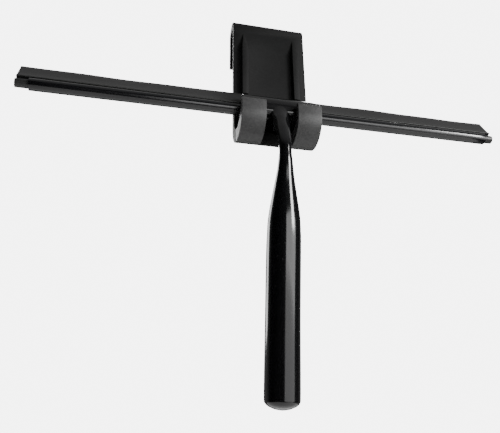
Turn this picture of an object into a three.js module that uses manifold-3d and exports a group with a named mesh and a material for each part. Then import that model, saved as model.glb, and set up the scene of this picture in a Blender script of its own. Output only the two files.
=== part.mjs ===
// Window squeegee hanging in its over-the-glass holder.
// Millimetres, +Z up, X along the blade, +Y into the glass.
// The origin is the middle of the seat that rests on the top edge of the glass.
import * as THREE from "three";
import { mergeVertices } from "three/addons/utils/BufferGeometryUtils.js";
import Module from "manifold-3d";

const wasm = await Module();
wasm.setup();

// Holder
const holderWidth = 48.8;
const slotWidth = 7.6;
const wall = 3.2;
const backLegBottom = -26;
const seatCorner = 2.4;
const archRadius = slotWidth / 2 + wall;
const troughOuter = 14.7;
const troughZ = -80;
const lipTopZ = -73;
const jogTopZ = -62;
const jogBottomZ = -71;
const holderBevel = 0.6;
const toeRadius = 1;
const splitY = -15;
const splitGap = 0.1;
const lipSpan = 14.7;
const ribX = 17.2;
const ribBase = 5.3;
const ribTop = 3.8;
const ribHeight = 3.3;
const ribStartZ = -3.6;
const ribFullZ = -18;
const ribEndZ = -56.6;
const ribRoot = 0.4;
const ribTip = 0.5;
const ribEndSlope = 1.6;

// Pads in the slot
const padThickness = 0.6;
const padGap = 0.1;
const padWidth = 36;
const padTopZ = -4;
const padBottomZ = -24;

// Blade channel and rubber
const barY = -19;
const barZ = -74;
const channelLength = 287;
const channelRadius = 3.6;
const channelWall = 0.5;
const channelMouth = 2.6;
const bladeLean = THREE.MathUtils.degToRad(25.5);
const rubberLength = 300;
const rubberShift = -1;
const beadRadius = 2.6;
const webWidth = 2;
const footWidth = 5.4;
const footStart = 3.9;
const footHeight = 1.2;
const lipReach = 18.3;
const lipTipWidth = 1.1;
const lipBaseWidth = 4.2;

// Handle
const headRadius = 9.6;
const headDrop = 5.5;
const headCorner = 2.5;
const headWidth = 44;
const headBevel = 1.2;
const headMouth = 6;
const boreGap = 0.15;
const hollowGap = 0.3;
const hollowDrop = 2.4;
const screwHoleGap = 0.1;

// Centre line of the handle in (Y, Z), from inside the head to the end of the grip
const handleLine = [
  [-19.5, -66],
  [-20.6, -72],
  [-23, -78.5],
  [-27, -86],
  [-31.8, -95],
  [-35, -105],
  [-34.2, -117],
  [-31, -131],
  [-20.5, -193.5],
  [-13.1, -246],
];

// Handle sections: distance along the line, half width along X, half depth
const handleSections = [
  [0, 15, 4],
  [3, 15.5, 5.8],
  [6, 15, 7.2],
  [10, 12.5, 7],
  [13, 9.6, 6.6],
  [15, 7.9, 6.4],
  [17.5, 6.7, 6.1],
  [21.5, 5.8, 5.7],
  [27, 5.1, 5],
  [32, 4.5, 4.5],
  [37, 4.1, 4.1],
  [42, 3.75, 3.75],
  [47, 3.6, 3.6],
  [52, 4.1, 4.1],
  [58, 4.7, 4.7],
  [64, 5.6, 5.6],
  [70, 6.6, 6.6],
  [76, 7.6, 7.6],
  [81, 8.4, 8.4],
  [87, 9.1, 9.1],
  [93, 9.4, 9.4],
  [101, 9.5, 9.5],
  [141, 9.45, 9.45],
  [181.3, 9.5, 9.5],
  [183.1, 9.4, 9.4],
  [184.4, 8.7, 8.7],
  [185.5, 7.4, 7.4],
  [186.1, 6.2, 6.2],
  [186.9, 4.2, 4.2],
  [187.3, 2.3, 2.3],
];
const handleLength = 187.6;

// Set screws
const screwX = 13;
const screwRadius = 1.5;
const screwLength = 4.6;
const screwSocket = 0.8;
const screwSocketDepth = 1;
const screwGap = 0.1;

const material = (name, color, roughness, metalness = 0) => {
  const made = new THREE.MeshStandardMaterial({ color, roughness, metalness });
  made.name = name;
  return made;
};
const charcoalPlastic = material("charcoal_plastic", 0x2c2c2d, 0.62);
const softBlack = material("soft_black", 0x161616, 0.85);
const softGrey = material("soft_grey", 0x4a4a4a, 0.7);
const glossBlack = material("gloss_black", 0x0b0b0c, 0.16);
const blackLacquer = material("black_lacquer", 0x101011, 0.22, 0.3);
const bladeRubber = material("blade_rubber", 0x2a2a2b, 0.55);
const blackSteel = material("black_steel", 0x1c1c1e, 0.4, 0.9);

/** Manifold solid of a three.js geometry. */
function solid(geometry) {
  const bare = geometry.clone();
  bare.deleteAttribute("normal");
  bare.deleteAttribute("uv");
  const merged = mergeVertices(bare, 1e-4);
  const mesh = new wasm.Mesh({
    numProp: 3,
    vertProperties: Float32Array.from(merged.attributes.position.array),
    triVerts: Uint32Array.from(merged.index.array),
  });
  return new wasm.Manifold(mesh);
}

/** three.js geometry of a Manifold solid. */
function geometryOf(manifold) {
  const mesh = manifold.getMesh();
  const geometry = new THREE.BufferGeometry();
  geometry.setAttribute("position", new THREE.BufferAttribute(mesh.vertProperties, 3));
  geometry.setIndex(new THREE.BufferAttribute(mesh.triVerts, 1));
  geometry.computeVertexNormals();
  return geometry;
}

/** A section drawn in (Y, Z), extruded along X about the middle. */
function alongX(shape, length, bevel = 0, curveSegments = 24) {
  const geometry = new THREE.ExtrudeGeometry(shape, {
    depth: length - 2 * bevel,
    curveSegments,
    bevelEnabled: bevel > 0,
    bevelThickness: bevel,
    bevelSize: bevel,
    bevelOffset: -bevel,
    bevelSegments: 3,
  });
  geometry.translate(0, 0, -(length - 2 * bevel) / 2);
  const turn = new THREE.Matrix4().makeBasis(
    new THREE.Vector3(0, 1, 0),
    new THREE.Vector3(0, 0, 1),
    new THREE.Vector3(1, 0, 0),
  );
  geometry.applyMatrix4(turn);
  return geometry;
}

/** An axis-aligned box between two corners. */
function block(low, high) {
  const size = high.map((value, i) => value - low[i]);
  const geometry = new THREE.BoxGeometry(...size);
  geometry.translate(...high.map((value, i) => (value + low[i]) / 2));
  return geometry;
}

/** Side profile of the holder: hook over the glass, plate, and J-shaped trough. */
function holderSection() {
  const half = slotWidth / 2;
  const front = -archRadius;
  const centreY = -half - troughOuter;
  const hollowRadius = headRadius + hollowGap;
  const hollowFront = barY - hollowRadius;
  const hollowBack = barY + hollowRadius;
  const hollowZ = barZ - hollowDrop;
  const lipFront = centreY - troughOuter;
  const lipRound = (hollowFront - lipFront) / 2;
  const shape = new THREE.Shape();
  shape.moveTo(half, backLegBottom + toeRadius);
  shape.quadraticCurveTo(half, backLegBottom, half + toeRadius, backLegBottom);
  shape.lineTo(archRadius - toeRadius, backLegBottom);
  shape.quadraticCurveTo(archRadius, backLegBottom, archRadius, backLegBottom + toeRadius);
  shape.lineTo(archRadius, 0);
  shape.absarc(0, 0, archRadius, 0, Math.PI, false);
  shape.lineTo(front, jogTopZ);
  shape.bezierCurveTo(front, jogTopZ - 4, hollowBack, jogBottomZ + 3, hollowBack, jogBottomZ);
  shape.lineTo(hollowBack, hollowZ);
  shape.absarc(barY, hollowZ, hollowRadius, 0, Math.PI, true);
  shape.lineTo(hollowFront, lipTopZ - lipRound);
  shape.absarc(hollowFront - lipRound, lipTopZ - lipRound, lipRound, 0, Math.PI, false);
  shape.lineTo(lipFront, troughZ);
  shape.absarc(centreY, troughZ, troughOuter, Math.PI, 2 * Math.PI, false);
  shape.lineTo(-half, -seatCorner);
  shape.quadraticCurveTo(-half, 0, -half + seatCorner, 0);
  shape.lineTo(half - seatCorner, 0);
  shape.quadraticCurveTo(half, 0, half, -seatCorner);
  shape.closePath();
  return shape;
}

/** A drafted rib that ramps out of the plate at its top and stops above the blade. */
function rib(x) {
  const root = -archRadius + ribRoot;
  const face = -archRadius - ribHeight;
  const points = [];
  for (const side of [-1, 1]) {
    points.push([x + side * ribTip, root, ribStartZ]);
    points.push([x + (side * ribBase) / 2, root, ribFullZ]);
    points.push([x + (side * ribTop) / 2, face, ribFullZ]);
    points.push([x + (side * ribBase) / 2, root, ribEndZ]);
    points.push([x + (side * ribTop) / 2, face, ribEndZ + ribEndSlope]);
  }
  return wasm.Manifold.hull(points);
}

/** A block holding the trough's front part between two X positions, up to a plane facing +Y. */
function troughFront(fromX, toX, backY) {
  const lowY = -2 * troughOuter - archRadius;
  const lowZ = troughZ - troughOuter - 1;
  return solid(block([fromX, lowY, lowZ], [toX, backY, lipTopZ + 1]));
}

/** The rigid moulding: everything behind the split in the trough's bottom. */
function holder() {
  let body = solid(alongX(holderSection(), holderWidth, holderBevel));
  body = body.add(rib(-ribX)).add(rib(ribX));
  return body.subtract(troughFront(-holderWidth, holderWidth, splitY + splitGap));
}

/** A soft lip: the front half of the trough at one end of the holder. */
function troughLip(side) {
  const whole = solid(alongX(holderSection(), holderWidth, holderBevel));
  const outer = (side * holderWidth) / 2 + side;
  const inner = side * (holderWidth / 2 - lipSpan);
  return whole.intersect(troughFront(Math.min(outer, inner), Math.max(outer, inner), splitY));
}

/** Direction across and along the blade's lean, in (Y, Z) about the channel's centre. */
function leaned(across, along) {
  const y = barY + across * Math.cos(bladeLean) + along * Math.sin(bladeLean);
  const z = barZ - across * Math.sin(bladeLean) + along * Math.cos(bladeLean);
  return new THREE.Vector2(y, z);
}

/** Points of an arc about the channel's centre, between two angles off the blade's direction. */
function leanedArc(radius, from, to, steps) {
  const points = [];
  for (let i = 0; i <= steps; i++) {
    const angle = from + ((to - from) * i) / steps;
    points.push(leaned(radius * Math.sin(angle), radius * Math.cos(angle)));
  }
  return points;
}

function channelSection() {
  const inner = channelRadius - channelWall;
  const outerGap = Math.asin(channelMouth / 2 / channelRadius);
  const innerGap = Math.asin(channelMouth / 2 / inner);
  const turn = 2 * Math.PI;
  return new THREE.Shape([
    ...leanedArc(channelRadius, outerGap, turn - outerGap, 40),
    ...leanedArc(inner, turn - innerGap, innerGap, 36),
  ]);
}

function rubberSection() {
  const neck = Math.asin(webWidth / 2 / beadRadius);
  const footTop = footStart + footHeight;
  return new THREE.Shape([
    ...leanedArc(beadRadius, neck, 2 * Math.PI - neck, 28),
    leaned(-webWidth / 2, footStart),
    leaned(-footWidth / 2, footStart),
    leaned(-footWidth / 2, footTop - 0.4),
    leaned(-lipBaseWidth / 2, footTop + 0.3),
    leaned(-lipTipWidth / 2, lipReach - 0.2),
    leaned(-lipTipWidth / 2 + 0.2, lipReach),
    leaned(lipTipWidth / 2, lipReach),
    leaned(lipBaseWidth / 2, footTop + 0.3),
    leaned(footWidth / 2, footTop - 0.4),
    leaned(footWidth / 2, footStart),
    leaned(webWidth / 2, footStart),
  ]);
}

/** The rubber, extruded and slid to its resting place in the channel. */
function rubber() {
  const geometry = alongX(rubberSection(), rubberLength);
  geometry.translate(rubberShift, 0, 0);
  return geometry;
}

/** Section of the head: round on top, flat underneath with rounded corners. */
function headSection() {
  const bottom = barZ - headDrop;
  const cornerZ = bottom + headCorner;
  const inset = headRadius - headCorner;
  const shape = new THREE.Shape();
  shape.absarc(barY, barZ, headRadius, 0, Math.PI, false);
  shape.lineTo(barY - headRadius, cornerZ);
  shape.absarc(barY - inset, cornerZ, headCorner, Math.PI, 1.5 * Math.PI, false);
  shape.lineTo(barY + inset, bottom);
  shape.absarc(barY + inset, cornerZ, headCorner, 1.5 * Math.PI, 2 * Math.PI, false);
  shape.closePath();
  return shape;
}

/** The handle's oval and round sections, carried along its centre line and closed at both ends. */
function handleShaft() {
  const points = handleLine.map(([y, z]) => new THREE.Vector3(0, y, z));
  const line = new THREE.CatmullRomCurve3(points, false, "centripetal");
  const knots = handleSections.map(([along, width, depth]) => new THREE.Vector3(width, along, depth));
  const smooth = new THREE.CatmullRomCurve3(knots, false, "centripetal").getPoints(90);
  const sections = [new THREE.Vector3(0, 0, 0), ...smooth, new THREE.Vector3(0, handleLength, 0)];
  const ends = [0, sections.length - 1];
  const unit = sections.map((_, i) => new THREE.Vector2(ends.includes(i) ? 0 : 1, i));
  const geometry = new THREE.LatheGeometry(unit, 40);
  const position = geometry.attributes.position;
  const side = new THREE.Vector3(1, 0, 0);
  for (let i = 0; i < position.count; i++) {
    const section = sections[Math.round(position.getY(i))];
    const share = Math.min(section.y / handleLength, 1);
    const at = line.getPointAt(share);
    const back = new THREE.Vector3().crossVectors(side, line.getTangentAt(share));
    at.addScaledVector(side, position.getX(i) * section.x);
    at.addScaledVector(back, position.getZ(i) * section.z);
    position.setXYZ(i, at.x, at.y, at.z);
  }
  return geometry;
}

/** A cylinder along Y between two Y positions. */
function pinAlongY(radius, x, z, fromY, toY) {
  const geometry = new THREE.CylinderGeometry(radius, radius, toY - fromY, 24);
  geometry.translate(x, (fromY + toY) / 2, z);
  return geometry;
}

/** One moulding: head, neck and grip, with a slotted bore for the channel and two screw holes. */
function handle() {
  const sides = 48;
  const lastAngle = (2 * Math.PI * (sides - 1)) / sides;
  const bore = new THREE.Shape(leanedArc(channelRadius + boreGap, 0, lastAngle, sides - 1));
  const mouth = new THREE.Shape([
    leaned(-headMouth / 2, 0),
    leaned(headMouth / 2, 0),
    leaned(headMouth / 2, 2 * headRadius),
    leaned(-headMouth / 2, 2 * headRadius),
  ]);
  let body = solid(alongX(headSection(), headWidth, headBevel)).add(solid(handleShaft()));
  body = body.subtract(solid(alongX(bore, 2 * headWidth)));
  body = body.subtract(solid(alongX(mouth, 2 * headWidth)));
  for (const x of [-screwX, screwX]) {
    const hole = pinAlongY(screwRadius + screwHoleGap, x, barZ, barY, barY + 2 * headRadius);
    body = body.subtract(solid(hole));
  }
  return body;
}

/** A set screw bearing on the channel, with a hexagonal socket at its outer end. */
function setScrew(x) {
  const start = barY + channelRadius + screwGap;
  const end = start + screwLength;
  const socket = new THREE.CylinderGeometry(screwSocket, screwSocket, 2 * screwSocketDepth, 6);
  socket.translate(x, end, barZ);
  return solid(pinAlongY(screwRadius, x, barZ, start, end)).subtract(solid(socket));
}

function piece(name, geometry, finish) {
  const mesh = new THREE.Mesh(geometry, finish);
  mesh.name = name;
  return mesh;
}

/** A pad on one side of the slot; side is -1 at the front and 1 at the back. */
function pad(name, side) {
  const near = (slotWidth / 2 - padGap) * side;
  const far = near - padThickness * side;
  const low = [-padWidth / 2, Math.min(near, far), padBottomZ];
  const high = [padWidth / 2, Math.max(near, far), padTopZ];
  return piece(name, block(low, high), softBlack);
}

const holderGroup = new THREE.Group();
holderGroup.add(piece("holder", geometryOf(holder()), charcoalPlastic));
holderGroup.add(piece("left_trough_lip", geometryOf(troughLip(-1)), softGrey));
holderGroup.add(piece("right_trough_lip", geometryOf(troughLip(1)), softGrey));
holderGroup.add(pad("front_grip_pad", -1));
holderGroup.add(pad("back_grip_pad", 1));

const squeegeeGroup = new THREE.Group();
squeegeeGroup.add(piece("handle", geometryOf(handle()), glossBlack));
squeegeeGroup.add(piece("blade_channel", alongX(channelSection(), channelLength), blackLacquer));
squeegeeGroup.add(piece("blade_rubber", rubber(), bladeRubber));
squeegeeGroup.add(piece("left_set_screw", geometryOf(setScrew(-screwX)), blackSteel));
squeegeeGroup.add(piece("right_set_screw", geometryOf(setScrew(screwX)), blackSteel));

const group = new THREE.Group();
group.add(holderGroup, squeegeeGroup);

export default group;
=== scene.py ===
import math

import bmesh
import bpy
import numpy as np
from mathutils import Matrix, Vector


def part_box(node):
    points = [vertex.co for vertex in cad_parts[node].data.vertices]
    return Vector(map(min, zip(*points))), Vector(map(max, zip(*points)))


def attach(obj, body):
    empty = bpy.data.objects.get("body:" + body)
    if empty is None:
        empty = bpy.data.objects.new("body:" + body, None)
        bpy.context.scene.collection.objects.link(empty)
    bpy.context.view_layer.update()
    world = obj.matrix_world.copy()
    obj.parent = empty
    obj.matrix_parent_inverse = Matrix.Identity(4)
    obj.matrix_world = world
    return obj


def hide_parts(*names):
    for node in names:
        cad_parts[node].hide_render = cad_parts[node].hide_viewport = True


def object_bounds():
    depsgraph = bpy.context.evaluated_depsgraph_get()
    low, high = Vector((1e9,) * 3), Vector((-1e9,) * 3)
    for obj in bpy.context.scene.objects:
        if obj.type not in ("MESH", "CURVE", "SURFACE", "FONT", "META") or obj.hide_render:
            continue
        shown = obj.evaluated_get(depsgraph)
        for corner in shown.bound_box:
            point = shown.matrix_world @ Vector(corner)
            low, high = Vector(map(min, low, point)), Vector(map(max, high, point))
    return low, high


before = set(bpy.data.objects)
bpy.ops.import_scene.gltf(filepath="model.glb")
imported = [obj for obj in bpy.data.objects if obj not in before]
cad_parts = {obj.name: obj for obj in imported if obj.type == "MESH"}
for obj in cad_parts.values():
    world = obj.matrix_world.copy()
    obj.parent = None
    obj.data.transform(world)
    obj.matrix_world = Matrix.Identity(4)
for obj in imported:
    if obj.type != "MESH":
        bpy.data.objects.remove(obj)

CAD_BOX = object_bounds()
MM = 0.001

# Holder: outer sizes read from the CAD parts in model.glb, inner ones given here
HOLDER_HIGH = Vector(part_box("holder")[1])
HALF_WIDTH = HOLDER_HIGH.x
ARCH = HOLDER_HIGH.z
WALL = 3.2 * MM
SLOT = ARCH - WALL
BACK_LEG_BOTTOM = -26 * MM
SEAT_CORNER = 2.4 * MM
TOE_RADIUS = 1.2 * MM
JOG_TOP = -62 * MM
JOG_BOTTOM = -71 * MM
JOG_PULL_TOP = -66 * MM
JOG_PULL_BOTTOM = -68 * MM
TROUGH_RADIUS = 14.7 * MM
LIP_TOP = -73 * MM
LIP_LOW, LIP_HIGH = (Vector(corner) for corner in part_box("right_trough_lip"))
TROUGH = Vector((0, -SLOT - TROUGH_RADIUS, LIP_LOW.z + TROUGH_RADIUS))
HOLLOW_GAP = 0.3 * MM
SPLIT_GAP = 0.1 * MM
LIP_CLEARANCE = 1 * MM
RIB_X = 17.2 * MM
RIB_BASE = 5.3 * MM
RIB_TOP = 3.8 * MM
RIB_HEIGHT = 3.3 * MM
RIB_ROOT = 0.4 * MM
RIB_TIP = 0.5 * MM
RIB_END_SLOPE = 1.6 * MM
RIB_ENDS = (-3.6 * MM, -18 * MM, -56.6 * MM)

# Pads in the slot
PAD_GROOVES = 7
GROOVE_INSET = 2 * MM
GROOVE_DEPTH = 0.25 * MM
GROOVE_HALF = 0.4 * MM

# How far cutting solids reach past the holder in (X, Y, Z)
BEYOND = Vector((0.06, 0.06, 0.11))

# Bar and blade
CHANNEL_LOW, CHANNEL_HIGH = (Vector(corner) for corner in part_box("blade_channel"))
BAR = (CHANNEL_LOW + CHANNEL_HIGH) / 2
CHANNEL_HALF = CHANNEL_HIGH.x
CHANNEL_RADIUS = (CHANNEL_HIGH.z - CHANNEL_LOW.z) / 2
CHANNEL_WALL = 0.5 * MM
CHANNEL_MOUTH = 2.6 * MM
LEAN = math.radians(25.5)
RUBBER_LOW, RUBBER_HIGH = (Vector(corner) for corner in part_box("blade_rubber"))
BEAD = 2.6 * MM
HALF_WEB = 1 * MM
LIP_REACH = 18.3 * MM
WAVER_START = 6 * MM

# Handle
HEAD_RADIUS = 9.6 * MM
HEAD_DROP = 5.5 * MM
HEAD_CORNER = 2.5 * MM
HOLLOW_DROP = 2.4 * MM
HEAD_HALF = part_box("handle")[1][0]
BORE_GAP = 0.15 * MM
MOUTH_HALF = 3 * MM
MOUTH_REACH = 30 * MM
CUT_HALF = 50 * MM

# Set screws
SCREW_GAP = 0.1 * MM
SCREW_HOLE_LENGTH = 20 * MM
THREAD_PITCH = 0.5 * MM
THREAD_START = 0.2 * MM
SOCKET_RADIUS = 0.8 * MM
SOCKET_DEPTH = 1 * MM

# Rounded edges, and the angle between faces in degrees from which an edge is sharp
SHARP_ANGLE = 32
ROUNDED_SHARP_ANGLE = 40
SCREW_SHARP_ANGLE = 30
HOLDER_ROUND = 0.5 * MM
LIP_ROUND = 0.7 * MM
HEAD_ROUND = 0.7 * MM
FINE_ROUND = 0.12 * MM

# The slight waver of the free lip: (size in mm, waves, phase), and its steady bend in mm
WAVER = ((0.16, 9.3, 0.6), (0.1, 21, 2))
WAVER_BEND = -0.12


# Meshes -------------------------------------------------------------------------------------

def make_object(name, bm):
    """An object from a bmesh, smooth except at sharp edges."""
    bmesh.ops.recalc_face_normals(bm, faces=bm.faces[:])
    mesh = bpy.data.meshes.new(name)
    bm.to_mesh(mesh)
    bm.free()
    obj = bpy.data.objects.new(name, mesh)
    bpy.context.scene.collection.objects.link(obj)
    shade(obj, SHARP_ANGLE)
    return obj


def shade(obj, sharp_angle):
    """Smooth shading, broken where faces meet at more than the angle."""
    obj.data.shade_smooth()
    obj.data.set_sharp_from_angle(angle=math.radians(sharp_angle))


def place(obj, body, node):
    """Let a finished piece ride on its body in place of its CAD node."""
    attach(obj, body)
    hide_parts(node)
    return obj


def apply_modifiers(obj):
    graph = bpy.context.evaluated_depsgraph_get()
    mesh = bpy.data.meshes.new_from_object(obj.evaluated_get(graph))
    obj.modifiers.clear()
    obj.data = mesh


def cut(obj, cutter, operation="DIFFERENCE"):
    modifier = obj.modifiers.new("boolean", "BOOLEAN")
    modifier.operation = operation
    modifier.object = cutter
    modifier.solver = "EXACT"
    apply_modifiers(obj)
    bpy.data.objects.remove(cutter)


def round_edges(obj, width, segments):
    modifier = obj.modifiers.new("bevel", "BEVEL")
    modifier.width = width
    modifier.segments = segments
    modifier.limit_method = "ANGLE"
    modifier.angle_limit = math.radians(SHARP_ANGLE)
    apply_modifiers(obj)
    shade(obj, ROUNDED_SHARP_ANGLE)


def arc(centre, radius, start, end, steps):
    """Points of an arc in (Y, Z), angles in degrees from +Y towards +Z."""
    points = []
    for i in range(steps + 1):
        angle = math.radians(start + (end - start) * i / steps)
        points.append((centre[0] + radius * math.cos(angle), centre[1] + radius * math.sin(angle)))
    return points


def curve_to(start, handle_a, handle_b, end, steps=8):
    """Points of a Bezier stretch after its start."""
    points = []
    for i in range(1, steps + 1):
        t = i / steps
        weights = ((1 - t) ** 3, 3 * t * (1 - t) ** 2, 3 * t * t * (1 - t), t ** 3)
        nodes = (start, handle_a, handle_b, end)
        points.append(tuple(sum(w * n[k] for w, n in zip(weights, nodes)) for k in (0, 1)))
    return points


def circle(radius, x, y, z, sides=48):
    """Points of a circle in the plane across Y."""
    angles = [2 * math.pi * i / sides for i in range(sides)]
    return [(x + radius * math.cos(angle), y, z + radius * math.sin(angle)) for angle in angles]


def bridge(bm, rings):
    """Side faces between each ring of vertices and the next."""
    for near, far in zip(rings, rings[1:]):
        count = len(near)
        for i in range(count):
            j = (i + 1) % count
            bm.faces.new((near[i], near[j], far[j], far[i]))


def extrude_section(points, stations):
    """A closed solid: a (Y, Z) outline drawn at each X station, with n-gon ends."""
    bm = bmesh.new()
    rings = [[bm.verts.new((x, y, z)) for y, z in points] for x in stations]
    bridge(bm, rings)
    bm.faces.new(rings[0])
    bm.faces.new(rings[-1])
    return bm


def holder_outline():
    """The J-shaped (Y, Z) section: hook, front plate, jog and trough, with both trough walls."""
    front = -ARCH
    hollow = HEAD_RADIUS + HOLLOW_GAP
    hollow_z = BAR.z - HOLLOW_DROP
    back_wall = BAR.y + hollow
    front_wall = BAR.y - hollow
    lip_front = TROUGH.y - TROUGH_RADIUS
    lip_round = (front_wall - lip_front) / 2
    lip_centre = (front_wall - lip_round, LIP_TOP - lip_round)
    jog_start = (front, JOG_TOP)
    jog_end = (back_wall, JOG_BOTTOM)
    points = arc((SLOT + TOE_RADIUS, BACK_LEG_BOTTOM + TOE_RADIUS), TOE_RADIUS, 180, 270, 5)
    points += arc((ARCH - TOE_RADIUS, BACK_LEG_BOTTOM + TOE_RADIUS), TOE_RADIUS, 270, 360, 5)
    points += arc((0, 0), ARCH, 0, 180, 40)
    points += [jog_start]
    points += curve_to(jog_start, (front, JOG_PULL_TOP), (back_wall, JOG_PULL_BOTTOM), jog_end)
    points += arc((BAR.y, hollow_z), hollow, 0, -180, 40)
    points += arc(lip_centre, lip_round, 0, 180, 14)
    points += arc((TROUGH.y, TROUGH.z), TROUGH_RADIUS, 180, 360, 48)
    points += arc((-SLOT + SEAT_CORNER, -SEAT_CORNER), SEAT_CORNER, 180, 90, 6)
    points += arc((SLOT - SEAT_CORNER, -SEAT_CORNER), SEAT_CORNER, 90, 0, 6)
    return points


def hull(points):
    """The convex solid around a set of points."""
    bm = bmesh.new()
    for point in points:
        bm.verts.new(point)
    result = bmesh.ops.convex_hull(bm, input=bm.verts[:])
    loose = [v for v in result["geom_interior"] if isinstance(v, bmesh.types.BMVert)]
    bmesh.ops.delete(bm, geom=loose, context="VERTS")
    bmesh.ops.dissolve_limit(bm, angle_limit=0.01, verts=bm.verts[:], edges=bm.edges[:])
    return bm


def box_mesh(low, high):
    corners = [(x, y, z) for x in (low[0], high[0]) for y in (low[1], high[1]) for z in (low[2], high[2])]
    return hull(corners)


def rib(side):
    """A raised rib of the front plate, tapering to its tip at the top."""
    root = -ARCH + RIB_ROOT
    face = -ARCH - RIB_HEIGHT
    tip, full, end = RIB_ENDS
    x = side * RIB_X
    points = []
    for s in (-1, 1):
        points.append((x + s * RIB_TIP, root, tip))
        points.append((x + s * RIB_BASE / 2, root, full))
        points.append((x + s * RIB_TOP / 2, face, full))
        points.append((x + s * RIB_BASE / 2, root, end))
        points.append((x + s * RIB_TOP / 2, face, end + RIB_END_SLOPE))
    return hull(points)


def build_holder():
    """The moulding: hook, ribbed plate and the back half of the trough."""
    moulding = make_object("holder_moulding", extrude_section(holder_outline(), (-HALF_WIDTH, HALF_WIDTH)))
    for side in (-1, 1):
        cut(moulding, make_object("rib", rib(side)), "UNION")
    split = (BEYOND.x, LIP_HIGH.y + SPLIT_GAP, LIP_HIGH.z + LIP_CLEARANCE)
    cut(moulding, make_object("front", box_mesh(-BEYOND, split)))
    round_edges(moulding, HOLDER_ROUND, 3)
    return place(moulding, "holder", "holder")


def build_lip(name, node):
    """A soft front lip of the trough, butted to the moulding along the bottom."""
    low, high = (Vector(corner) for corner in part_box(node))
    lip = make_object(name, extrude_section(holder_outline(), (low.x, high.x)))
    keep = box_mesh(-BEYOND, (BEYOND.x, high.y, high.z + LIP_CLEARANCE))
    cut(lip, make_object("keep", keep), "INTERSECT")
    round_edges(lip, LIP_ROUND, 4)
    return place(lip, "holder", node)


def build_pad(name, node):
    """A thin soft pad with grooves across its free face."""
    low, high = (Vector(corner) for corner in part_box(node))
    pad = make_object(name, box_mesh(low, high))
    face = high.y if node.startswith("front") else low.y
    for k in range(PAD_GROOVES):
        z = low.z + (high.z - low.z) * (k + 1) / (PAD_GROOVES + 1)
        groove_low = (low.x + GROOVE_INSET, face - GROOVE_DEPTH, z - GROOVE_HALF)
        groove_high = (high.x - GROOVE_INSET, face + GROOVE_DEPTH, z + GROOVE_HALF)
        cut(pad, make_object("groove", box_mesh(groove_low, groove_high)))
    round_edges(pad, FINE_ROUND, 2)
    return place(pad, "holder", node)


def leaned(across, along):
    """A (Y, Z) point measured across and along the blade's lean from the channel's centre."""
    y = BAR.y + across * math.cos(LEAN) + along * math.sin(LEAN)
    z = BAR.z - across * math.sin(LEAN) + along * math.cos(LEAN)
    return (y, z)


def leaned_arc(radius, start, end, steps):
    """An arc about the channel's centre, in radians from the blade's direction."""
    points = []
    for i in range(steps + 1):
        angle = start + (end - start) * i / steps
        points.append(leaned(radius * math.sin(angle), radius * math.cos(angle)))
    return points


def build_channel():
    """The thin tube, open along the slot where the blade comes out."""
    inner = CHANNEL_RADIUS - CHANNEL_WALL
    outer_gap = math.asin(CHANNEL_MOUTH / 2 / CHANNEL_RADIUS)
    inner_gap = math.asin(CHANNEL_MOUTH / 2 / inner)
    points = leaned_arc(CHANNEL_RADIUS, outer_gap, 2 * math.pi - outer_gap, 96)
    points += leaned_arc(inner, 2 * math.pi - inner_gap, inner_gap, 80)
    steps = np.linspace(-CHANNEL_HALF, CHANNEL_HALF, 24)
    channel = make_object("channel_tube", extrude_section(points, steps))
    round_edges(channel, FINE_ROUND, 2)
    return place(channel, "squeegee", "blade_channel")


def rubber_outline():
    """The blade's section: bead, thin web, foot outside the channel and tapering lip."""
    neck = math.asin(HALF_WEB / BEAD)
    points = leaned_arc(BEAD, neck, 2 * math.pi - neck, 40)
    side = [(1, 3.9), (2.5, 3.9), (2.7, 4.1), (2.7, 4.65), (2.55, 4.8), (2.2, 5.2), (2.1, 5.5)]
    side += [(1.5, 10), (1, 14), (0.62, 17.5), (0.42, 18.3)]
    points += [leaned(-across * MM, along * MM) for across, along in side]
    points += [leaned(across * MM, along * MM) for across, along in reversed(side)]
    return points


def build_rubber():
    """The extruded blade, whose free lip wavers slightly along its length."""
    steps = np.linspace(RUBBER_LOW.x, RUBBER_HIGH.x, 121)
    bm = extrude_section(rubber_outline(), steps)
    lean = Vector((0, math.sin(LEAN), math.cos(LEAN)))
    across = Vector((0, math.cos(LEAN), -math.sin(LEAN)))
    for vert in bm.verts:
        reach = (vert.co - Vector((vert.co.x, BAR.y, BAR.z))).dot(lean)
        free = max(0, (reach - WAVER_START) / (LIP_REACH - WAVER_START)) ** 2
        x = vert.co.x / RUBBER_HIGH.x
        waver = sum(size * math.sin(waves * x + phase) for size, waves, phase in WAVER) + WAVER_BEND
        vert.co += across * (waver * free * MM)
    return place(make_object("rubber_blade", bm), "blade", "blade_rubber")


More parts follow.
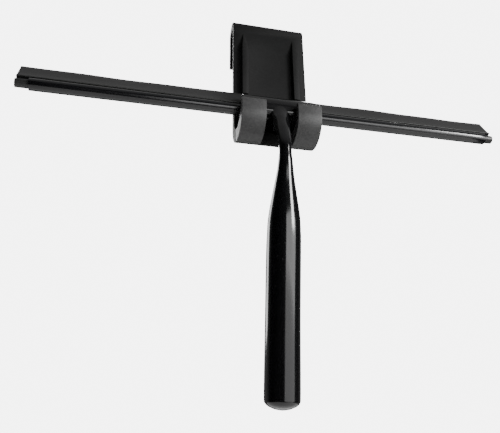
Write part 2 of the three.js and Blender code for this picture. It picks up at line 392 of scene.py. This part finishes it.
def catmull(points, alpha, per_span):
    """Points along a Catmull-Rom curve; alpha 0 is uniform, 0.5 is centripetal."""
    points = [np.array(p, float) for p in points]
    padded = [2 * points[0] - points[1], *points, 2 * points[-1] - points[-2]]
    out = []
    for k in range(len(points) - 1):
        p0, p1, p2, p3 = padded[k:k + 4]
        t0 = 0.0
        t1 = t0 + max(np.linalg.norm(p1 - p0) ** alpha, 1e-9)
        t2 = t1 + max(np.linalg.norm(p2 - p1) ** alpha, 1e-9)
        t3 = t2 + max(np.linalg.norm(p3 - p2) ** alpha, 1e-9)
        last = k == len(points) - 2
        for t in np.linspace(t1, t2, per_span + (1 if last else 0), endpoint=last):
            a1 = (t1 - t) / (t1 - t0) * p0 + (t - t0) / (t1 - t0) * p1
            a2 = (t2 - t) / (t2 - t1) * p1 + (t - t1) / (t2 - t1) * p2
            a3 = (t3 - t) / (t3 - t2) * p2 + (t - t2) / (t3 - t2) * p3
            b1 = (t2 - t) / (t2 - t0) * a1 + (t - t0) / (t2 - t0) * a2
            b2 = (t3 - t) / (t3 - t1) * a2 + (t - t1) / (t3 - t1) * a3
            out.append((t2 - t) / (t2 - t1) * b1 + (t - t1) / (t2 - t1) * b2)
    return np.array(out)


# Centre line of the handle in (Y, Z), and its sections: distance, half width, half depth (mm)
HANDLE_LINE = (
    (-19.5, -66), (-20.6, -72), (-23, -78.5), (-27, -86), (-31.8, -95), (-35, -105),
    (-34.2, -117), (-31, -131), (-20.5, -193.5), (-13.1, -246),
)
HANDLE_SECTIONS = (
    (0, 15, 4), (3, 15.5, 5.8), (6, 15, 7.2), (10, 12.5, 7), (13, 9.6, 6.6), (15, 7.9, 6.4),
    (17.5, 6.7, 6.1), (21.5, 5.8, 5.7), (27, 5.1, 5), (32, 4.5, 4.5), (37, 4.1, 4.1), (42, 3.75, 3.75),
    (47, 3.6, 3.6), (52, 4.1, 4.1), (58, 4.7, 4.7), (64, 5.6, 5.6), (70, 6.6, 6.6), (76, 7.6, 7.6),
    (81, 8.4, 8.4), (87, 9.1, 9.1), (93, 9.4, 9.4), (101, 9.5, 9.5), (141, 9.45, 9.45),
    (181.3, 9.5, 9.5), (183.1, 9.4, 9.4), (184.4, 8.7, 8.7), (185.5, 7.4, 7.4), (186.1, 6.2, 6.2),
    (186.9, 4.2, 4.2), (187.3, 2.3, 2.3),
)
HANDLE_LENGTH = 187.6


def build_shaft():
    """Oval and round sections carried along the handle's centre line."""
    line = catmull(HANDLE_LINE, 0.5, 60)
    lengths = np.concatenate([[0], np.cumsum(np.linalg.norm(np.diff(line, axis=0), axis=1))])
    sides = 96
    across = Vector((1, 0, 0))
    bm = bmesh.new()
    rings = []
    for along, half_width, half_depth in catmull(HANDLE_SECTIONS, 0.5, 12):
        at = along / HANDLE_LENGTH * lengths[-1]
        y, z = (np.interp(at, lengths, line[:, k]) for k in (0, 1))
        y0, z0 = (np.interp(max(at - 0.5, 0), lengths, line[:, k]) for k in (0, 1))
        y1, z1 = (np.interp(min(at + 0.5, lengths[-1]), lengths, line[:, k]) for k in (0, 1))
        back = across.cross(Vector((0, y1 - y0, z1 - z0)).normalized())
        ring = []
        for i in range(sides):
            angle = 2 * math.pi * i / sides
            offset = across * (half_width * math.cos(angle)) + back * (half_depth * math.sin(angle))
            ring.append(bm.verts.new((Vector((0, y, z)) + offset) * MM))
        rings.append(ring)
    bridge(bm, rings)
    bm.faces.new(rings[0])
    tip = bm.verts.new(Vector((0, *line[-1])) * MM)
    for i in range(sides):
        bm.faces.new((rings[-1][i], rings[-1][(i + 1) % sides], tip))
    return make_object("shaft", bm)


def build_handle():
    """Wide head and shaft in one moulding, bored for the channel and open for the blade."""
    bottom = BAR.z - HEAD_DROP
    inset = HEAD_RADIUS - HEAD_CORNER
    head_points = arc((BAR.y, BAR.z), HEAD_RADIUS, 0, 180, 48)
    head_points += arc((BAR.y - inset, bottom + HEAD_CORNER), HEAD_CORNER, 180, 270, 12)
    head_points += arc((BAR.y + inset, bottom + HEAD_CORNER), HEAD_CORNER, 270, 360, 12)
    handle = make_object("handle_moulding", extrude_section(head_points, (-HEAD_HALF, HEAD_HALF)))
    cut(handle, build_shaft(), "UNION")
    ends = (-CUT_HALF, CUT_HALF)
    bore = leaned_arc(CHANNEL_RADIUS + BORE_GAP, 0, 2 * math.pi * 63 / 64, 63)
    cut(handle, make_object("bore", extrude_section(bore, ends)))
    corners = ((-MOUTH_HALF, 0), (MOUTH_HALF, 0), (MOUTH_HALF, MOUTH_REACH), (-MOUTH_HALF, MOUTH_REACH))
    mouth = [leaned(across, along) for across, along in corners]
    cut(handle, make_object("mouth", extrude_section(mouth, ends)))
    for node in ("left_set_screw", "right_set_screw"):
        cut(handle, screw_hole(node))
    round_edges(handle, HEAD_ROUND, 4)
    return place(handle, "squeegee", "handle")


def stack_y(layers):
    """A closed solid turned about a line along Y, from circles given as lists of points."""
    bm = bmesh.new()
    rings = [[bm.verts.new(point) for point in layer] for layer in layers]
    bridge(bm, rings)
    bm.faces.new(rings[0])
    bm.faces.new(rings[-1])
    return bm


def screw_sizes(node):
    """A set screw's middle in X, its radius, and its point and head in Y."""
    low, high = (Vector(corner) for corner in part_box(node))
    return (low.x + high.x) / 2, (high.x - low.x) / 2, low.y, high.y


def screw_hole(node):
    """The cutter for a set screw's hole, from the middle of the bar out through the back."""
    x, radius = screw_sizes(node)[:2]
    ends = (BAR.y, BAR.y + SCREW_HOLE_LENGTH)
    return make_object("hole", stack_y([circle(radius + SCREW_GAP, x, y, BAR.z) for y in ends]))


def build_set_screw(name, node):
    """A hex-socket set screw with a flat point and turned thread crests."""
    x, radius, point, head = screw_sizes(node)
    length = head - point
    profile = [(0.7, 0), (0.82, 0.05)]
    for k in range(int(length / THREAD_PITCH) - 1):
        root = THREAD_START + k * THREAD_PITCH
        profile += [(0.84, root / length), (1, (root + THREAD_PITCH / 2) / length)]
    profile += [(0.86, 0.93), (0.8, 1)]
    layers = [circle(radius * share, x, point + along * length, BAR.z) for share, along in profile]
    screw = make_object(name, stack_y(layers))
    ends = (head - SOCKET_DEPTH, head + SOCKET_DEPTH)
    cut(screw, make_object("socket", stack_y([circle(SOCKET_RADIUS, x, y, BAR.z, 6) for y in ends])))
    shade(screw, SCREW_SHARP_ANGLE)
    return place(screw, "squeegee", node)


# Materials ----------------------------------------------------------------------------------

class Finish:
    """A Principled material with object-space textures, built node by node."""

    def __init__(self, name, colour, roughness, **sockets):
        self.material = bpy.data.materials.new(name)
        self.material.use_nodes = True
        self.nodes = self.material.node_tree.nodes
        self.links = self.material.node_tree.links
        self.shader = self.nodes["Principled BSDF"]
        self.shader.inputs["Base Color"].default_value = (*colour, 1)
        self.shader.inputs["Roughness"].default_value = roughness
        for socket, value in sockets.items():
            self.shader.inputs[socket.replace("_", " ")].default_value = value
        self.place = self.nodes.new("ShaderNodeTexCoord").outputs["Object"]

    def noise(self, scale, detail=3, roughness=0.5, stretch=(1, 1, 1)):
        mapping = self.nodes.new("ShaderNodeMapping")
        mapping.inputs["Scale"].default_value = stretch
        self.links.new(self.place, mapping.inputs["Vector"])
        texture = self.nodes.new("ShaderNodeTexNoise")
        texture.inputs["Scale"].default_value = scale
        texture.inputs["Detail"].default_value = detail
        texture.inputs["Roughness"].default_value = roughness
        self.links.new(mapping.outputs["Vector"], texture.inputs["Vector"])
        return texture.outputs["Fac"]

    def ramp(self, factor, stops):
        ramp = self.nodes.new("ShaderNodeValToRGB")
        elements = ramp.color_ramp.elements
        while len(elements) < len(stops):
            elements.new(0.5)
        for element, (position, grey) in zip(elements, stops):
            element.position = position
            element.color = (grey, grey, grey, 1)
        self.links.new(factor, ramp.inputs["Fac"])
        return ramp.outputs["Color"]

    def mix(self, factor, a, b):
        mix = self.nodes.new("ShaderNodeMix")
        mix.data_type = "RGBA"
        self.feed(mix.inputs["Factor"], factor)
        self.feed(mix.inputs[6], a)
        self.feed(mix.inputs[7], b)
        return mix.outputs[2]

    def feed(self, socket, value):
        if isinstance(value, bpy.types.NodeSocket):
            self.links.new(value, socket)
        else:
            socket.default_value = (*value, 1)

    def range(self, factor, low, high):
        node = self.nodes.new("ShaderNodeMapRange")
        node.inputs["To Min"].default_value = low
        node.inputs["To Max"].default_value = high
        self.links.new(factor, node.inputs["Value"])
        return node.outputs["Result"]

    def bump(self, height, distance, strength):
        node = self.nodes.new("ShaderNodeBump")
        node.inputs["Distance"].default_value = distance
        node.inputs["Strength"].default_value = strength
        self.links.new(height, node.inputs["Height"])
        self.links.new(node.outputs["Normal"], self.shader.inputs["Normal"])

    def painted_edge_highlight(self, low=0.52, high=0.6):
        """White on convex edges: the mask for a painted edge highlight."""
        geometry = self.nodes.new("ShaderNodeNewGeometry")
        return self.ramp(geometry.outputs["Pointiness"], ((low, 0.0), (high, 1.0)))

    def colour(self, value):
        self.feed(self.shader.inputs["Base Color"], value)

    def roughness(self, value):
        self.feed(self.shader.inputs["Roughness"], value)

    def paint(self, obj):
        obj.data.materials.clear()
        obj.data.materials.append(self.material)


def charcoal_plastic():
    """Matte moulded plastic with a fine spark-eroded grain."""
    finish = Finish("charcoal_plastic", (0.008, 0.008, 0.008), 0.55, Specular_IOR_Level=0.14)
    mottle = finish.noise(900, 4, 0.6)
    cloud = finish.noise(60, 3)
    base = finish.mix(finish.ramp(mottle, ((0.3, 0.0), (0.7, 1.0))), (0.005,) * 3, (0.009,) * 3)
    dusty = finish.mix(finish.ramp(cloud, ((0.45, 0.0), (0.75, 0.35))), base, (0.012,) * 3)
    # Painted highlight: convex edges lightened towards grey
    finish.colour(finish.mix(finish.painted_edge_highlight(), dusty, (0.03,) * 3))
    finish.roughness(finish.range(cloud, 0.5, 0.64))
    finish.bump(finish.noise(2600, 3, 0.6), 0.00006, 0.5)
    return finish


def soft_grey():
    """The lighter, mottled soft plastic of the trough lips."""
    finish = Finish("soft_grey", (0.04, 0.04, 0.04), 0.5, Specular_IOR_Level=0.35)
    mottle = finish.noise(1100, 4, 0.65)
    cloud = finish.noise(220, 3, 0.6)
    base = finish.mix(finish.ramp(mottle, ((0.35, 0.0), (0.68, 1.0))), (0.022,) * 3, (0.045,) * 3)
    cloudy = finish.mix(finish.ramp(cloud, ((0.45, 0.0), (0.7, 0.5))), base, (0.055,) * 3)
    # Painted highlight: convex edges lightened towards grey
    finish.colour(finish.mix(finish.painted_edge_highlight(), cloudy, (0.11,) * 3))
    finish.roughness(finish.range(cloud, 0.42, 0.56))
    finish.bump(finish.noise(1900, 3, 0.6), 0.00008, 0.6)
    return finish


def soft_pad():
    """Dull soft lining of the glass slot."""
    finish = Finish("soft_pad", (0.012, 0.012, 0.012), 0.8)
    finish.colour(finish.mix(finish.noise(400, 3), (0.01, 0.01, 0.01), (0.02, 0.02, 0.02)))
    finish.roughness(finish.range(finish.noise(120), 0.7, 0.9))
    finish.bump(finish.noise(1800, 2), 0.00004, 0.4)
    return finish


def gloss_black():
    """Polished black with faint smears and a few dust specks."""
    finish = Finish("gloss_black", (0.006, 0.006, 0.007), 0.12)
    smear = finish.noise(90, 4, 0.6, (1, 1, 0.3))
    specks = finish.ramp(finish.noise(1500, 1, 0.4), ((0.79, 0.0), (0.82, 1.0)))
    finish.colour(finish.mix(specks, (0.0055, 0.0055, 0.006), (0.16, 0.16, 0.16)))
    finish.roughness(finish.range(smear, 0.08, 0.2))
    finish.bump(finish.noise(35, 2), 0.00015, 0.12)
    return finish


def black_lacquer():
    """Gloss coating drawn out along the tube, with a painted highlight on its edges."""
    finish = Finish("black_lacquer", (0.006, 0.006, 0.007), 0.16)
    finish.colour(finish.mix(finish.painted_edge_highlight(0.56, 0.64), (0.006, 0.006, 0.007), (0.09, 0.09, 0.09)))
    finish.roughness(finish.range(finish.noise(300, 4, 0.6, (0.2, 1, 1)), 0.1, 0.24))
    finish.bump(finish.noise(700, 2, 0.5, (0.1, 1, 1)), 0.00004, 0.25)
    return finish


def blade_rubber():
    """Satin rubber with streaks along the extrusion."""
    finish = Finish("blade_rubber", (0.015, 0.015, 0.015), 0.42, Specular_IOR_Level=0.35)
    streak = finish.noise(500, 3, 0.6, (0.05, 1, 1))
    finish.colour(finish.mix(streak, (0.009,) * 3, (0.022,) * 3))
    finish.roughness(finish.range(streak, 0.34, 0.5))
    finish.bump(finish.noise(900, 3, 0.6, (0.25, 1, 1)), 0.00008, 0.3)
    return finish


def black_steel():
    """Blackened steel, lightened on its edges as a painted highlight."""
    finish = Finish("black_steel", (0.05, 0.05, 0.055), 0.35, Metallic=1.0)
    finish.colour(finish.mix(finish.painted_edge_highlight(), (0.04, 0.04, 0.045), (0.3, 0.3, 0.3)))
    finish.roughness(finish.range(finish.noise(900, 3), 0.28, 0.45))
    finish.bump(finish.noise(2500, 2), 0.00002, 0.3)
    return finish


# Studio -------------------------------------------------------------------------------------

FLOOR_HALF = 0.6
FLOOR_BELOW = 0.3
SKY_TO_CAMERA = 6
SKY_DARK = 0.002
AIM = Vector((0, -0.03, -0.11))


def build_floor():
    """A plain pale floor below the object, which hangs."""
    z = CAD_BOX[0][2] - FLOOR_BELOW
    corners = ((-1, -1), (1, -1), (1, 1), (-1, 1))
    bm = bmesh.new()
    bm.faces.new([bm.verts.new((x * FLOOR_HALF, y * FLOOR_HALF, z)) for x, y in corners])
    floor = make_object("floor", bm)
    finish = Finish("floor", (0.8, 0.8, 0.8), 0.7)
    finish.colour(finish.mix(finish.noise(4, 2), (0.78, 0.78, 0.78), (0.83, 0.83, 0.83)))
    finish.paint(floor)


def build_world():
    """Pale to the camera; to the object, a grey ceiling and back with darkness in front."""
    world = bpy.data.worlds.new("studio")
    bpy.context.scene.world = world
    world.use_nodes = True
    nodes = world.node_tree.nodes
    links = world.node_tree.links
    split = nodes.new("ShaderNodeSeparateXYZ")
    links.new(nodes.new("ShaderNodeTexCoord").outputs["Generated"], split.inputs["Vector"])
    total = nodes.new("ShaderNodeMath")
    for k, (axis, low, high, glow) in enumerate((("Z", 0.5, 0.8, 0.35), ("Y", 0.1, 0.6, 0.25))):
        rise = nodes.new("ShaderNodeMapRange")
        rise.interpolation_type = "SMOOTHSTEP"
        rise.inputs["From Min"].default_value = low
        rise.inputs["From Max"].default_value = high
        rise.inputs["To Min"].default_value = SKY_DARK
        rise.inputs["To Max"].default_value = glow
        links.new(split.outputs[axis], rise.inputs["Value"])
        links.new(rise.outputs["Result"], total.inputs[k])
    mix = nodes.new("ShaderNodeMix")
    mix.data_type = "RGBA"
    links.new(nodes.new("ShaderNodeLightPath").outputs["Is Camera Ray"], mix.inputs["Factor"])
    links.new(total.outputs["Value"], mix.inputs[6])
    mix.inputs[7].default_value = (SKY_TO_CAMERA, SKY_TO_CAMERA, SKY_TO_CAMERA, 1)
    links.new(mix.outputs[2], nodes["Background"].inputs["Color"])


def area_light(name, where, aim, size, power):
    """A rectangular lamp at a place, turned to its aim."""
    data = bpy.data.lights.new(name, "AREA")
    data.shape = "RECTANGLE"
    data.size, data.size_y = size
    data.energy = power
    light = bpy.data.objects.new(name, data)
    light.location = where
    light.rotation_euler = (Vector(aim) - Vector(where)).to_track_quat("-Z", "Y").to_euler()
    bpy.context.scene.collection.objects.link(light)
    return light


def toward(azimuth, elevation, distance):
    """Where a light stands, in degrees right of -Y and above the horizon, and what it aims at."""
    side = math.radians(azimuth)
    rise = math.radians(elevation)
    away = Vector((math.sin(side) * math.cos(rise), -math.cos(side) * math.cos(rise), math.sin(rise)))
    return AIM + away * distance, AIM


CAMERA_AT = Vector((-0.08236, -0.29762, -0.26134))
CAMERA_AZIMUTH = 13.18
CAMERA_ELEVATION = 22.38
CAMERA_ROLL = -0.54
CAMERA_LENS = 39.76


def build_camera():
    """The camera, seen from below and a little to the left of the object."""
    data = bpy.data.cameras.new("camera")
    data.lens = CAMERA_LENS
    data.sensor_width = 36
    data.clip_start = 0.01
    camera = bpy.data.objects.new("camera", data)
    turn = Matrix.Rotation(math.radians(-CAMERA_AZIMUTH), 4, "Z")
    tilt = Matrix.Rotation(math.radians(90 + CAMERA_ELEVATION), 4, "X")
    roll = Matrix.Rotation(math.radians(CAMERA_ROLL), 4, "Z")
    camera.matrix_world = Matrix.Translation(CAMERA_AT) @ turn @ tilt @ roll
    bpy.context.scene.collection.objects.link(camera)
    bpy.context.scene.camera = camera


build_camera()
build_floor()
build_world()
area_light("window", *toward(47, 17, 1.2), (0.36, 0.44), 20)
for name, elevation, power in (("wall", 6, 11), ("low_wall", -13, 5)):
    panel = area_light(name, *toward(33, elevation, 1.25), (1.6, 0.45), power)
    panel.visible_diffuse = False
area_light("back_fill", *toward(165, 35, 1.2), (0.9, 0.7), 22)
area_light("side_fill", *toward(-140, 20, 1.2), (0.5, 0.7), 8)

PLASTIC = charcoal_plastic()
PAD = soft_pad()
GLOSS = gloss_black()
LACQUER = black_lacquer()
RUBBER = blade_rubber()
STEEL = black_steel()
SOFT = soft_grey()

PLASTIC.paint(build_holder())
SOFT.paint(build_lip("left_lip", "left_trough_lip"))
SOFT.paint(build_lip("right_lip", "right_trough_lip"))
PAD.paint(build_pad("front_pad", "front_grip_pad"))
PAD.paint(build_pad("back_pad", "back_grip_pad"))
GLOSS.paint(build_handle())
LACQUER.paint(build_channel())
RUBBER.paint(build_rubber())
STEEL.paint(build_set_screw("left_screw", "left_set_screw"))
STEEL.paint(build_set_screw("right_screw", "right_set_screw"))
